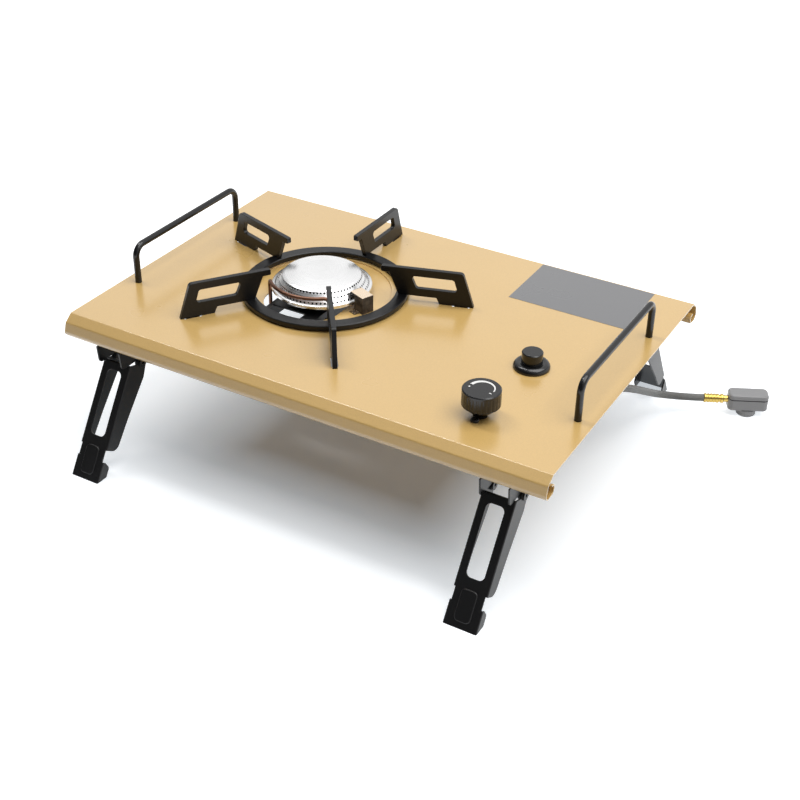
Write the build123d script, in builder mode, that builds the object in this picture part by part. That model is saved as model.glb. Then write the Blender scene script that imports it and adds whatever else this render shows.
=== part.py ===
from build123d import *
import os
from math import atan2, cos, degrees, radians, sin, tan

# Portable gas stove on folding legs. Millimetres, +Z up, floor at Z 0, front towards -Y.
os.makedirs("parts", exist_ok=True)

# Whole stove
plate_width = 500.0
plate_depth = 350.0
plate_top = 140.0
sheet = 1.2
overrun = 2.0
tolerance = 0.001
running_gap = 0.05
seat_gap = 0.1

# Rolled front and rear edges of the plate: insets from the edge, drops from the top, bend radii
bend_inset = 12.0
crease_inset = 3.5
crease_drop = 6.5
wall_drop = 17.0
roll_inset = 4.5
roll_drop = 21.6
lip_inset = 16.5
lip_drop = 20.6
curl_inset = 17.5
curl_drop = 11.5
curl_end_inset = 11.5
curl_end_drop = 10.8
top_bend = 2.0
crease_bend = 3.0
wall_bend = 4.0
roll_bend = 3.0
curl_bend = 3.5

# Burner recess and opening in the plate
burner_left_inset = 177.0
recess_radius = 68.0
recess_depth = 1.5
opening_width = 80.0
opening_depth = 101.0
opening_corner = 30.0
opening_shift_x = -1.5
opening_shift_y = -10.5

# Bare dark panel
label_right_inset = 100.0
label_rear_inset = 53.5
label_width = 120.0
label_depth = 80.0
label_thick = 0.2

# Handles of bent rod, held by nuts under the plate
handle_inset = 15.0
handle_span = 163.0
handle_rod = 6.5
handle_rise = 37.5
handle_bend = 11.0
handle_tail = 13.0
nut_flats = 11.0
nut_height = 5.0

# Pot support: radii from its own axis, heights from the plate
support_shift = 4.0
support_lift = 6.5
support_top = 35.0
ring_inner = 70.0
ring_width = 12.0
ring_thick = 4.5
ring_edge = 0.8
arm_count = 5
arm_first_angle = 18.0
arm_thick = 4.5
arm_tip_radius = 56.0
arm_tip_depth = 5.7
arm_hook = 8.0
arm_root_radius = 73.0
arm_step_radius = 110.5
arm_foot_radius = 113.5
arm_end_radius = 146.8
arm_shoulder_radius = 135.5
arm_shoulder_round = 4.0
arm_tip_round = 1.2
tab_start_radius = 128.0
tab_length = 13.0
tab_depth = 4.5
tab_slot_gap = 1.0
tab_slot_end_gap = 2.0
window_inner_top = 85.0
window_inner_low = 90.5
window_outer_top = 127.0
window_outer_low = 131.0
window_high = 27.5
window_low = 14.5
window_round = 3.0

# Burner: radii from its axis, heights from the plate
rim_radius = 49.0
rim_low = 3.1
rim_height = 4.0
bowl_sheet = 1.2
neck_radius = 13.0
neck_top = 0.8
bowl_foot_radius = 20.0
cap_sheet = 0.9
cap_edge_inset = 0.4
cap_ledge = 2.0
cap_ledge_rise = 0.4
cap_band_width = 8.6
cap_band_rise = 10.0
cap_brow = 2.0
cap_brow_rise = 1.0
dome_rise = 4.6
port_radius = 1.0
port_count = 72
port_row_shares = (0.12, 0.50, 0.88)

# Bracket across the opening, under the plate
bracket_width = 55.0
bracket_shift_x = -2.5
bracket_length = 134.0
bracket_sheet = 1.5
bracket_drop = 16.0
bracket_slot_length = 37.0
bracket_slot_width = 16.5
bracket_slot_x = -8.0
bracket_slot_y = 54.1

# Mixing tube, jet and its holder
mix_radius = 9.0
mix_wall = 1.2
mix_drop = 22.0
mix_bend = 15.0
mix_reach = 86.0
air_hole_radius = 3.5
air_hole_back = 18.0
jet_plug_length = 8.0
jet_block_length = 12.0
jet_block_radius = 9.0
jet_radius = 2.6
jet_length = 9.0
jet_tip = 1.2
jet_bore = 0.4

# Gas pipe and the loop past the flame
loop_radius = 51.3
loop_rise = 17.5
loop_left_angle = -134.6
loop_right_angle = -50.0
loop_tube = 3.6
loop_corner = 5.0
loop_bend = 9.0
loop_drop = 22.0
pipe_radius = 3.0
pipe_drop = 22.0
pipe_bend = 11.0
pipe_sweep = 24.0
pipe_straight = 85.0
union_radius = 5.5
union_length = 14.0
union_stub = 2.0

# Control valve and knob
valve_right_inset = 88.5
valve_front_inset = 57.5
valve_flange_radius = 15.0
valve_flange = 3.0
valve_radius = 10.0
valve_length = 30.0
valve_boss_radius = 6.0
valve_boss_reach = 15.0
valve_inlet_turn = 70.0
valve_neck_radius = 6.2
valve_neck_rise = 2.0
stem_radius = 3.0
stem_seat = 14.0
valve_screw_spacing = 20.4
screw_radius = 1.9
screw_head_radius = 3.8
screw_head_height = 2.6
screw_length = 9.0
screw_drive = 1.6
screw_drive_depth = 1.2
knob_radius = 16.9
knob_foot_radius = 7.5
knob_lift = 3.4
knob_cone = 8.6
knob_height = 23.8
knob_edge = 0.9
knob_lip = 3.0
flute_count = 24
flute_radius = 2.0
flute_depth = 0.35
stem_grip = 11.0
mark_radius = 11.6
mark_wide = 3.0
mark_mid = 2.2
mark_thin = 1.1
mark_start_angle = 174.0
mark_end_angle = -2.0
mark_height = 0.15
mark_dot = 0.9
mark_dot_angle = 196.0
mark_bar_length = 2.4
mark_bar_width = 1.1
mark_bar_angle = -22.0
mark_ring_inset = 0.9

# Piezo igniter
igniter_right_inset = 85.0
igniter_front_inset = 150.5
bezel_radius = 16.8
bezel_edge = 1.0
bezel_dip_radius = 10.7
bezel_dip = 5.4
button_radius = 9.65
button_low = 5.2
button_height = 11.1
button_edge = 0.8
button_stem_radius = 3.0
button_stem_length = 19.0
igniter_neck_radius = 7.0
igniter_radius = 7.5
igniter_length = 40.0
igniter_nut_flats = 22.0
igniter_nut_height = 4.0
spring_outer = 5.5
spring_inner = 4.0
spring_pocket = 8.0
stem_bore_depth = 22.0
terminal_drop = 22.0
terminal_radius = 2.2
terminal_length = 4.0

# Spark electrode and its shield
shield_shift_x = 52.6
shield_shift_y = -11.6
shield_turn = -22.0
shield_length = 19.0
shield_width = 13.0
shield_rise = 16.0
shield_sheet = 0.8
shield_clear = 0.8
shield_tab = 6.0
shield_tab_length = 10.0
electrode_shift = 2.8
ceramic_radius = 2.6
ceramic_rise = 9.0
ceramic_drop = 14.0
pin_radius = 0.7
pin_rise = 3.2
pin_bend = 2.2
pin_reach = 5.6
lead_radius = 1.3
lead_bend = 7.0
lead_sag = 9.0

# Legs: places along the leg are from its pivot, the face lies outside the pivot
leg_inset = 47.5
leg_lean = 32.7
pivot_inset = 32.5
pivot_drop = 45.5
leg_width = 32.0
leg_sheet = 1.5
leg_face = 15.8
leg_face_start = 6.0
leg_bend = 1.4
leg_eye = 6.5
flange_shoulder = 14.0
flange_top_depth = 25.0
flange_mid_depth = 19.0
flange_low_depth = 16.0
flange_mid_share = 0.64
flange_round = 8.0
waist_length = 12.0
waist_inset = 2.0
foot_length = 21.0
foot_ear = 11.0
foot_ear_start = 3.5
foot_ear_slope = 4.0
foot_round = 4.0
leg_slot_start = 14.0
leg_slot_margin = 10.8
leg_slot_width = 17.0
leg_slot_corner = 5.0
panel_length = 28.0
panel_width = 15.0
panel_corner = 4.0
panel_raise = 0.9
panel_edge = 0.5
panel_margin = 6.0
ear_sheet = 1.5
ear_gap = 0.4
ear_eye = 5.5
ear_front = 9.0
ear_rear = 16.0
ear_rear_drop = 24.0
nose_reach = 27.5
nose_foot_reach = 26.0
nose_round = 4.0
nose_shoulder = 22.0
stop_gap = 0.3
rivet_radius = 3.0
rivet_bore = 1.8
rivet_head_radius = 5.0
rivet_head = 1.2
rivet_play = 0.3

# Hose, ferrules and regulator
hose_diameter = 7.5
nipple_hex = 13.0
nipple_length = 5.0
barb_radius = 2.6
barb_bore = 1.4
ferrule_radius = 4.8
ferrule_length = 20.0
ferrule_edge = 0.6
regulator_turn = 26.7
regulator_length = 40.6
regulator_width = 18.0
regulator_height = 18.0
regulator_corner = 5.0
regulator_edge = 2.2
regulator_split = 13.0
regulator_groove = 0.8
regulator_groove_depth = 0.8
cover_wall = 2.0
spigot_radius = 3.6
spigot_length = 4.6
canister_collar_radius = 10.0
canister_collar_drop = 7.0
canister_seat_radius = 7.5
canister_seat_depth = 5.0
canister_collar_edge = 1.0
canister_bore_radius = 5.4
port_seal_thick = 1.2
port_seal_hole = 1.5
diaphragm_radius = 7.0
diaphragm_thick = 0.8

# Route of the hose between its ferrules, as it hangs and lies; both ends run straight out of them
hose_lead = 38.0
hose_tail = 20.0
hose_middle = [
    (207.0, 3.0, 112.5),
    (223.0, 47.0, 98.0),
    (225.0, 82.0, 79.0),
    (224.2, 157.0, 31.7),
    (231.5, 175.6, 22.1),
]
hose_end_x = 264.0
hose_end_y = 200.4
hose_arc_share = 0.45

# Levels and places that follow from the sizes above
half_width = plate_width / 2
half_depth = plate_depth / 2
burner_x = burner_left_inset - half_width
burner_y = 0
support_x = burner_x + support_shift
label_x = half_width - label_right_inset
label_y = half_depth - label_rear_inset
handle_x = half_width - handle_inset
valve_x = half_width - valve_right_inset
valve_y = valve_front_inset - half_depth
igniter_x = half_width - igniter_right_inset
igniter_y = igniter_front_inset - half_depth
shield_x = burner_x + shield_shift_x
shield_y = burner_y + shield_shift_y
leg_x = half_width - leg_inset
pivot_y = half_depth - pivot_inset
plate_under = plate_top - sheet
recess_floor = plate_top - recess_depth
recess_under = recess_floor - sheet
burner_axis = Axis((burner_x, burner_y, 0), (0, 0, 1))
burner_plane = Plane((burner_x, burner_y, plate_top))
burner_section = Plane(origin=(burner_x, burner_y, plate_top), x_dir=(1, 0, 0), z_dir=(0, -1, 0))
support_plane = Plane((support_x, burner_y, plate_top))
valve_plane = Plane((valve_x, valve_y, plate_top))
igniter_plane = Plane((igniter_x, igniter_y, plate_top))
igniter_section = Plane(origin=(igniter_x, igniter_y, plate_top), x_dir=(1, 0, 0), z_dir=(0, -1, 0))
handle_feet = [(x, y) for x in (-handle_x, handle_x) for y in (-handle_span / 2, handle_span / 2)]
screw_offset = valve_screw_spacing / 2
valve_screw_places = [(valve_x, valve_y - screw_offset), (valve_x, valve_y + screw_offset)]
shield_way = Vector(cos(radians(shield_turn)), sin(radians(shield_turn)), 0)
electrode_place = Vector(shield_x, shield_y, plate_top) + shield_way * electrode_shift
outlet_way = Vector(-1, 0, 0)
inlet_way = Vector(cos(radians(valve_inlet_turn)), sin(radians(valve_inlet_turn)), 0)
pivot_z = plate_top - pivot_drop
lean = radians(leg_lean)
down_to_top = (Align.CENTER, Align.CENTER, Align.MAX)
up_from_base = (Align.CENTER, Align.CENTER, Align.MIN)


def save(part, name):
    """Label a finished piece and write it to its own file."""
    part.label = name
    export_step(part, f"parts/{name}.step")


# Plate
plate_section = Plane(origin=(-half_width, 0, plate_top), x_dir=(0, 1, 0), z_dir=(1, 0, 0))
edge_outline = [
    (0, 0),
    (half_depth - bend_inset, 0),
    (half_depth - crease_inset, -crease_drop),
    (half_depth, -wall_drop),
    (half_depth - roll_inset, -roll_drop),
    (half_depth - lip_inset, -lip_drop),
    (half_depth - curl_inset, -curl_drop),
    (half_depth - curl_end_inset, -curl_end_drop),
]
edge_bends = [top_bend, crease_bend, wall_bend, roll_bend, curl_bend, curl_bend]
with BuildPart() as top_plate:
    with BuildSketch(plate_section):
        with BuildLine():
            FilletPolyline(edge_outline, radius=edge_bends)
            offset(amount=sheet, side=Side.RIGHT)
        make_face()
        mirror(about=Plane.YZ)
    extrude(amount=plate_width)
    with BuildSketch(Plane((burner_x, burner_y, plate_under))):
        Circle(recess_radius + sheet)
    extrude(amount=-recess_depth)
    with BuildSketch(burner_plane):
        Circle(recess_radius)
    extrude(amount=-recess_depth, mode=Mode.SUBTRACT)
    with BuildSketch(burner_plane):
        with Locations((opening_shift_x, opening_shift_y)):
            RectangleRounded(opening_width, opening_depth, opening_corner)
    extrude(amount=-(recess_depth + sheet + overrun), mode=Mode.SUBTRACT)
    with BuildSketch(support_plane):
        with PolarLocations(tab_start_radius + tab_length / 2, arm_count, start_angle=arm_first_angle):
            Rectangle(tab_length + 2 * tab_slot_end_gap, arm_thick + 2 * tab_slot_gap)
    extrude(amount=-(sheet + overrun), mode=Mode.SUBTRACT)
    with BuildSketch(Plane.XY.offset(plate_top)):
        with Locations(*handle_feet):
            Circle(handle_rod / 2 + seat_gap)
        with Locations((valve_x, valve_y)):
            Circle(valve_neck_radius + seat_gap)
        with Locations(*valve_screw_places):
            Circle(screw_radius + seat_gap)
        with Locations((igniter_x, igniter_y)):
            Circle(igniter_neck_radius + seat_gap)
    extrude(amount=-(sheet + overrun), mode=Mode.SUBTRACT)
    with BuildSketch(Plane(electrode_place)):
        Circle(ceramic_radius + seat_gap)
    extrude(amount=-(recess_depth + sheet + overrun), mode=Mode.SUBTRACT)
save(top_plate.part, "top_plate")

with BuildPart(Plane((label_x, label_y, plate_top))) as label_panel:
    Box(label_width, label_depth, label_thick, align=up_from_base)
save(label_panel.part, "label_panel")


# Handles
def build_handle(name, x):
    """One U-shaped rod handle whose ends pass through the plate."""
    low = plate_top - handle_tail
    high = plate_top + handle_rise
    reach = handle_span / 2
    with BuildPart() as handle:
        with BuildLine() as path:
            FilletPolyline(
                (x, -reach, low),
                (x, -reach, high),
                (x, reach, high),
                (x, reach, low),
                radius=handle_bend,
            )
        with BuildSketch(Plane(origin=path.line @ 0, z_dir=path.line % 0)):
            Circle(handle_rod / 2)
        sweep()
    save(handle.part, name)


build_handle("handle_left", -handle_x)
build_handle("handle_right", handle_x)

with BuildPart() as handle_nuts:
    with BuildSketch(Plane.XY.offset(plate_under)):
        with Locations(*handle_feet):
            RegularPolygon(nut_flats / 2, 6, major_radius=False)
            Circle(handle_rod / 2 + seat_gap, mode=Mode.SUBTRACT)
    extrude(amount=-nut_height)
save(handle_nuts.part, "handle_nuts")

# Pot support
with BuildPart() as support_ring:
    with BuildSketch(support_plane.offset(support_lift)):
        Circle(ring_inner + ring_width)
        Circle(ring_inner, mode=Mode.SUBTRACT)
    extrude(amount=-ring_thick)
    chamfer(support_ring.edges().group_by(Axis.Z)[-1], length=ring_edge)
save(support_ring.part, "support_ring")


def build_arm(name, angle):
    """One upright arm: hooked tip, window, raised belly, foot and a tab into the plate."""
    across = radians(angle)
    plane = Plane(
        origin=support_plane.origin,
        x_dir=(cos(across), sin(across), 0),
        z_dir=(sin(across), -cos(across), 0),
    )
    outline = [
        (arm_tip_radius, support_top),
        (arm_tip_radius, support_top - arm_tip_depth),
        (arm_tip_radius + arm_hook, support_top - arm_tip_depth),
        (arm_root_radius, support_lift),
        (arm_step_radius, support_lift),
        (arm_foot_radius, 0),
        (tab_start_radius, 0),
        (tab_start_radius, -tab_depth),
        (tab_start_radius + tab_length, -tab_depth),
        (tab_start_radius + tab_length, 0),
        (arm_end_radius, 0),
        (arm_shoulder_radius, support_top),
    ]
    rounds = [arm_tip_round, arm_tip_round] + [0] * (len(outline) - 3) + [arm_shoulder_round]
    window = [
        (window_inner_top, window_high),
        (window_outer_top, window_high),
        (window_outer_low, window_low),
        (window_inner_low, window_low),
    ]
    with BuildPart() as arm:
        with BuildSketch(plane):
            with BuildLine():
                FilletPolyline(outline, radius=rounds, close=True)
            make_face()
            with BuildLine():
                FilletPolyline(window, radius=window_round, close=True)
            make_face(mode=Mode.SUBTRACT)
        extrude(amount=arm_thick / 2, both=True)
    save(arm.part, name)


for arm_index in range(arm_count):
    build_arm(f"support_arm_{arm_index + 1}", arm_first_angle + arm_index * 360 / arm_count)

# Burner bracket, bowl and cap
with BuildPart(Plane((burner_x + bracket_shift_x, burner_y, recess_under))) as burner_bracket:
    Box(bracket_width, bracket_length, bracket_drop, align=down_to_top)
    with Locations((0, 0, -bracket_sheet)):
        Box(
            bracket_width - 2 * bracket_sheet,
            bracket_length + overrun,
            bracket_drop,
            align=down_to_top,
            mode=Mode.SUBTRACT,
        )
    with BuildSketch(Plane((burner_x, burner_y, recess_under))):
        Circle(mix_radius + seat_gap)
        with Locations((bracket_slot_x, -bracket_slot_y), (bracket_slot_x, bracket_slot_y)):
            Rectangle(bracket_slot_length, bracket_slot_width)
    extrude(amount=-(bracket_sheet + overrun), mode=Mode.SUBTRACT)
save(burner_bracket.part, "burner_bracket")

bowl_base = recess_under - plate_top
rim_high = rim_low + rim_height
with BuildPart() as burner_bowl:
    with BuildSketch(burner_section):
        with BuildLine():
            Polyline(
                (bowl_foot_radius, bowl_base),
                (bowl_foot_radius, bowl_base + bowl_sheet),
                (neck_radius, bowl_base + bowl_sheet),
                (neck_radius, neck_top),
                (rim_radius - bowl_sheet, rim_low),
                (rim_radius, rim_low + bowl_sheet),
                (rim_radius, rim_high),
                (rim_radius - bowl_sheet, rim_high),
                (rim_radius - bowl_sheet, rim_low + bowl_sheet),
                (mix_radius + seat_gap, neck_top + bowl_sheet),
                (mix_radius + seat_gap, bowl_base),
                close=True,
            )
        make_face()
    revolve(axis=burner_axis)
save(burner_bowl.part, "burner_bowl")

cap_edge = Vector(rim_radius - cap_edge_inset, rim_high)
band_low = cap_edge + Vector(-cap_ledge, cap_ledge_rise)
band_high = band_low + Vector(-cap_band_width, cap_band_rise)
brow = band_high + Vector(-cap_brow, cap_brow_rise)
dome_top = Vector(0, brow.Y + dome_rise)
port_tilt = degrees(atan2(cap_band_rise, cap_band_width))
with BuildPart() as burner_cap:
    with BuildSketch(burner_section):
        with BuildLine():
            Polyline(cap_edge, band_low, band_high, brow)
            TangentArc(dome_top, brow, tangent=(1, 0))
            inner_top = dome_top - Vector(0, cap_sheet)
            inner_brow = brow - Vector(0, cap_sheet)
            Line(dome_top, inner_top)
            TangentArc(inner_top, inner_brow, tangent=(1, 0))
            inner_high = band_high - Vector(cap_sheet, cap_sheet)
            inner_low = band_low - Vector(cap_sheet, cap_ledge_rise)
            Polyline(inner_brow, inner_high, inner_low, cap_edge)
        make_face()
    revolve(axis=burner_axis)
    for row, share in enumerate(port_row_shares):
        port_place = band_low + (band_high - band_low) * share
        row_turn = (row + 0.5) * 180 / port_count
        with Locations((burner_x, burner_y, plate_top + port_place.Y)):
            with PolarLocations(port_place.X, port_count, start_angle=row_turn):
                Cylinder(port_radius, 4 * cap_sheet, rotation=(0, port_tilt, 0), mode=Mode.SUBTRACT)
save(burner_cap.part, "burner_cap")

# Mixing tube with its jet
mix_level = plate_top - mix_drop
mix_path = [
    (burner_x, burner_y, plate_top + neck_top),
    (burner_x, burner_y, mix_level),
    (burner_x, burner_y + mix_reach, mix_level),
]
with BuildPart() as mixing_tube:
    with BuildLine() as mix_line:
        FilletPolyline(mix_path, radius=mix_bend)
    with BuildSketch(Plane(origin=mix_line.line @ 0, z_dir=mix_line.line % 0)):
        Circle(mix_radius)
        Circle(mix_radius - mix_wall, mode=Mode.SUBTRACT)
    sweep()
    air_place = (burner_x, burner_y + mix_reach - air_hole_back, mix_level)
    for turn in ((0, 90, 0), (0, 0, 0)):
        with Locations(Location(air_place, turn)):
            Cylinder(air_hole_radius, 2 * (mix_radius + overrun), mode=Mode.SUBTRACT)
save(mixing_tube.part, "mixing_tube")

jet_mouth = Plane(origin=(burner_x, burner_y + mix_reach, mix_level), x_dir=(1, 0, 0), z_dir=(0, 1, 0))
with BuildPart(jet_mouth) as jet_holder:
    Cylinder(mix_radius - mix_wall - seat_gap, jet_plug_length, align=down_to_top)
    Cylinder(jet_block_radius, jet_block_length, align=up_from_base)
save(jet_holder.part, "jet_holder")

with BuildPart(jet_mouth.offset(-jet_plug_length)) as gas_jet:
    Cylinder(jet_radius, jet_length, align=down_to_top)
    chamfer(gas_jet.edges().sort_by(Axis.Y)[0], length=jet_tip)
    Cylinder(jet_bore, jet_length, align=down_to_top, mode=Mode.SUBTRACT)
save(gas_jet.part, "gas_jet")


# Loop past the flame, union and gas pipe
def on_loop(angle, along, rise):
    """A point of the loop: on its circle, moved along the tangent, at a height over the plate."""
    turned = radians(angle)
    across = Vector(cos(turned), sin(turned), 0)
    tangent = Vector(-sin(turned), cos(turned), 0)
    return Vector(burner_x, burner_y, plate_top + rise) + across * loop_radius + tangent * along


loop_level = plate_top - loop_drop
loop_left_foot = on_loop(loop_left_angle, 0, -loop_drop)
loop_right_foot = on_loop(loop_right_angle, 0, -(pipe_drop - union_stub - union_length))
holder_side = Vector(burner_x - jet_block_radius, burner_y + mix_reach + jet_block_length / 2, loop_level)
with BuildPart() as preheat_tube:
    with BuildLine() as loop_line:
        right_top = on_loop(loop_right_angle, 0, loop_rise - loop_corner)
        right_turn = on_loop(loop_right_angle, -loop_corner, loop_rise)
        left_turn = on_loop(loop_left_angle, loop_corner, loop_rise)
        left_top = on_loop(loop_left_angle, 0, loop_rise - loop_corner)
        Line(loop_right_foot, right_top)
        right_arc = TangentArc(right_top, right_turn, tangent=(0, 0, 1))
        front_arc = TangentArc(right_turn, left_turn, tangent=right_arc % 1)
        TangentArc(left_turn, left_top, tangent=front_arc % 1)
        FilletPolyline(
            left_top,
            loop_left_foot,
            Vector(loop_left_foot.X, holder_side.Y, loop_level),
            holder_side,
            radius=loop_bend,
        )
    with BuildSketch(Plane(origin=loop_line.line @ 0, z_dir=loop_line.line % 0)):
        Circle(loop_tube / 2)
    sweep()
save(preheat_tube.part, "preheat_tube")

with BuildPart() as pipe_union:
    with BuildSketch(Plane(loop_right_foot)):
        RegularPolygon(union_radius, 6)
    extrude(amount=-union_length)
save(pipe_union.part, "pipe_union")

pipe_level = plate_top - pipe_drop
pipe_start = Vector(valve_x, valve_y, pipe_level) + outlet_way * valve_boss_reach
pipe_turn = pipe_start + outlet_way * pipe_straight
pipe_rise = Vector(loop_right_foot.X, loop_right_foot.Y, pipe_level - pipe_bend)
pipe_end = loop_right_foot - Vector(0, 0, union_length)
with BuildPart() as gas_pipe:
    with BuildLine() as pipe_line:
        FilletPolyline(
            pipe_start,
            pipe_turn,
            pipe_rise,
            pipe_end,
            radius=[pipe_sweep, pipe_bend],
        )
    with BuildSketch(Plane(origin=pipe_line.line @ 0, z_dir=pipe_line.line % 0)):
        Circle(pipe_radius)
    sweep()
save(gas_pipe.part, "gas_pipe")

# Control valve
stem_foot = -(sheet + stem_seat)
with BuildPart(valve_plane) as valve_body:
    with Locations((0, 0, -sheet)):
        Cylinder(valve_flange_radius, valve_flange, align=down_to_top)
        Cylinder(valve_radius, valve_length, align=down_to_top)
        Cylinder(valve_neck_radius, sheet + valve_neck_rise, align=up_from_base)
    for boss_way in (outlet_way, inlet_way):
        with Locations(Plane(origin=(0, 0, -pipe_drop), z_dir=boss_way).location):
            Cylinder(valve_boss_radius, valve_boss_reach, align=up_from_base)
    with Locations((0, 0, stem_foot)):
        Cylinder(
            stem_radius + running_gap,
            valve_neck_rise - stem_foot + overrun,
            align=up_from_base,
            mode=Mode.SUBTRACT,
        )
    with Locations((0, -screw_offset, 0), (0, screw_offset, 0)):
        Cylinder(screw_radius + seat_gap, 2 * screw_length, mode=Mode.SUBTRACT)
save(valve_body.part, "valve_body")

with BuildPart() as valve_screws:
    for place in valve_screw_places:
        with Locations((*place, plate_top)):
            Cylinder(screw_head_radius, screw_head_height, align=up_from_base)
            Cylinder(screw_radius, screw_length, align=down_to_top)
    fillet(valve_screws.edges().group_by(Axis.Z)[-1], radius=screw_head_height / 2)
    for place in valve_screw_places:
        with Locations((*place, plate_top + screw_head_height)):
            Box(screw_head_radius, screw_drive / 2, screw_drive_depth, align=down_to_top, mode=Mode.SUBTRACT)
            Box(screw_drive / 2, screw_head_radius, screw_drive_depth, align=down_to_top, mode=Mode.SUBTRACT)
save(valve_screws.part, "valve_screws")

stem_top = knob_lift + stem_grip
with BuildPart(valve_plane) as valve_stem:
    with Locations((0, 0, stem_foot + running_gap)):
        Cylinder(stem_radius, stem_top - stem_foot - running_gap, align=up_from_base)
save(valve_stem.part, "valve_stem")

knob_section = Plane(origin=valve_plane.origin, x_dir=(1, 0, 0), z_dir=(0, -1, 0))
knob_top = knob_lift + knob_height
with BuildPart() as control_knob:
    with BuildSketch(knob_section):
        with BuildLine():
            Polyline(
                (0, knob_lift),
                (knob_foot_radius, knob_lift),
                (knob_radius, knob_lift + knob_cone),
                (knob_radius, knob_top - knob_edge),
                (knob_radius - knob_edge, knob_top),
                (0, knob_top),
                close=True,
            )
        make_face()
    revolve(axis=Axis(valve_plane.origin, (0, 0, 1)))
    with Locations(valve_plane.offset(knob_lift).location):
        Cylinder(stem_radius, stem_grip, align=up_from_base, mode=Mode.SUBTRACT)
    with BuildSketch(valve_plane.offset(knob_lift + knob_cone)):
        with PolarLocations(knob_radius + flute_radius - flute_depth, flute_count):
            Circle(flute_radius)
    extrude(amount=knob_height - knob_cone - knob_lip, mode=Mode.SUBTRACT)
save(control_knob.part, "control_knob")


def knob_point(radius, angle):
    """A point on the knob's top from its radius and angle."""
    return Vector(radius * cos(radians(angle)), radius * sin(radians(angle)))


mark_mid_angle = (mark_start_angle + mark_end_angle) / 2
with BuildPart() as knob_marks:
    with BuildSketch(valve_plane.offset(knob_top)):
        with BuildLine():
            outer = ThreePointArc(
                knob_point(mark_radius, mark_start_angle),
                knob_point(mark_radius, mark_mid_angle),
                knob_point(mark_radius, mark_end_angle),
            )
            inner = ThreePointArc(
                knob_point(mark_radius - mark_wide, mark_start_angle),
                knob_point(mark_radius - mark_mid, mark_mid_angle),
                knob_point(mark_radius - mark_thin, mark_end_angle),
            )
            Line(outer @ 0, inner @ 0)
            Line(outer @ 1, inner @ 1)
        make_face()
        with Locations(knob_point(mark_radius - mark_ring_inset, mark_dot_angle)):
            Circle(mark_dot)
        with Locations(Location(knob_point(mark_radius - mark_ring_inset, mark_bar_angle), mark_bar_angle)):
            Rectangle(mark_bar_length, mark_bar_width)
    extrude(amount=mark_height)
save(knob_marks.part, "knob_marks")

# Igniter
with BuildPart() as igniter_bezel:
    with BuildSketch(igniter_section):
        with BuildLine():
            bezel_foot = Polyline(
                (bezel_dip_radius, bezel_dip),
                (button_radius + running_gap, bezel_dip),
                (button_radius + running_gap, 0),
                (bezel_radius, 0),
                (bezel_radius, bezel_edge),
            )
            TangentArc(bezel_foot @ 1, bezel_foot @ 0, tangent=(0, 1))
        make_face()
    revolve(axis=Axis(igniter_plane.origin, (0, 0, 1)))
save(igniter_bezel.part, "igniter_bezel")

with BuildPart(igniter_plane.offset(button_low)) as igniter_button:
    Cylinder(button_radius, button_height, align=up_from_base)
    chamfer(igniter_button.edges().sort_by(Axis.Z)[-1], length=button_edge)
    Cylinder(button_stem_radius, button_stem_length, align=down_to_top)
save(igniter_button.part, "igniter_button")

with BuildPart(igniter_plane) as igniter_body:
    Cylinder(igniter_neck_radius, sheet, align=down_to_top)
    with Locations((0, 0, -sheet)):
        Cylinder(igniter_radius, igniter_length, align=down_to_top)
    Cylinder(spring_outer + seat_gap, spring_pocket, align=down_to_top, mode=Mode.SUBTRACT)
    Cylinder(button_stem_radius + running_gap, stem_bore_depth, align=down_to_top, mode=Mode.SUBTRACT)
    with Locations(Location((-igniter_radius, 0, -terminal_drop), (0, -90, 0))):
        Cylinder(terminal_radius, terminal_length)
save(igniter_body.part, "igniter_body")

with BuildPart(igniter_plane.offset(-spring_pocket)) as igniter_spring:
    Cylinder(spring_outer, spring_pocket + button_low, align=up_from_base)
    Cylinder(spring_inner, spring_pocket + button_low, align=up_from_base, mode=Mode.SUBTRACT)
save(igniter_spring.part, "igniter_spring")

with BuildPart() as igniter_nut:
    with BuildSketch(igniter_plane.offset(-sheet)):
        RegularPolygon(igniter_nut_flats / 2, 6, major_radius=False)
        Circle(igniter_radius + seat_gap, mode=Mode.SUBTRACT)
    extrude(amount=-igniter_nut_height)
save(igniter_nut.part, "igniter_nut")

# Spark electrode, its shield and lead
shield_plane = Plane((shield_x, shield_y, recess_floor)).rotated((0, 0, shield_turn))
shield_height = recess_depth + shield_rise
with BuildPart(shield_plane) as electrode_shield:
    Box(shield_length, shield_width, shield_height, align=up_from_base)
    with Locations((-shield_sheet, 0, 0)):
        Box(
            shield_length,
            shield_width - 2 * shield_sheet,
            shield_height - shield_sheet,
            align=up_from_base,
            mode=Mode.SUBTRACT,
        )
    with Locations((0, -shield_width / 2, 0)):
        Box(shield_tab_length, shield_tab, shield_sheet, align=(Align.CENTER, Align.MAX, Align.MIN))
    with BuildSketch(burner_plane.offset(-recess_depth)):
        Circle(rim_radius + shield_clear)
    extrude(amount=shield_height - shield_sheet, mode=Mode.SUBTRACT)
save(electrode_shield.part, "electrode_shield")

with BuildPart(Plane(electrode_place).offset(ceramic_rise)) as spark_electrode:
    Cylinder(ceramic_radius, ceramic_rise + ceramic_drop, align=down_to_top)
    chamfer(spark_electrode.edges().sort_by(Axis.Z)[-1], length=ceramic_radius / 4)
save(spark_electrode.part, "spark_electrode")

pin_foot = electrode_place + Vector(0, 0, ceramic_rise)
with BuildPart() as spark_pin:
    with BuildLine() as pin_line:
        pin_corner = pin_foot + Vector(0, 0, pin_rise)
        FilletPolyline(pin_foot, pin_corner, pin_corner - shield_way * pin_reach, radius=pin_bend)
    with BuildSketch(Plane(origin=pin_line.line @ 0, z_dir=pin_line.line % 0)):
        Circle(pin_radius)
    sweep()
save(spark_pin.part, "spark_pin")

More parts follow.
